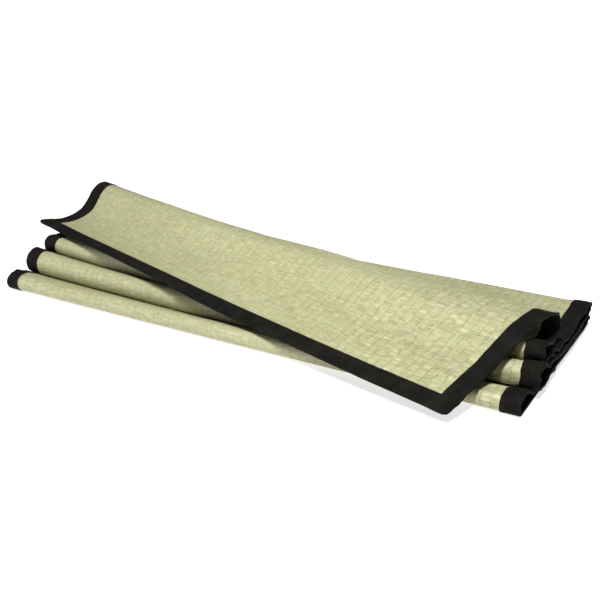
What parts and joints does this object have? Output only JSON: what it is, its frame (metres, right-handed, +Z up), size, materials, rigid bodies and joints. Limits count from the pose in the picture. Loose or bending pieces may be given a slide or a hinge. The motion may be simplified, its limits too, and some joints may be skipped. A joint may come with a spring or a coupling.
{
  "type": "folded rush mat",
  "caption": "Woven rush floor mat with black cotton edge tape, folded back and forth into a low pile whose loose top fold is pulled forward and askew.",
  "frame": {"origin": "centre of the bounding box on the surface the folded mat rests on", "axes": "+X along the rushes and the folds, +Y towards the back folds, +Z up"},
  "size_m": [0.9534, 0.4203, 0.1411],
  "materials": {
    "rush_weave": "dry, slightly glossy straw",
    "edge_tape": "matte woven cotton"
  },
  "bodies": {
    "root": {"rush_mat": "rush_weave", "binding_left": "edge_tape", "binding_right": "edge_tape", "binding_flap": "edge_tape", "binding_bottom": "edge_tape"}
  },
  "joints": []
}
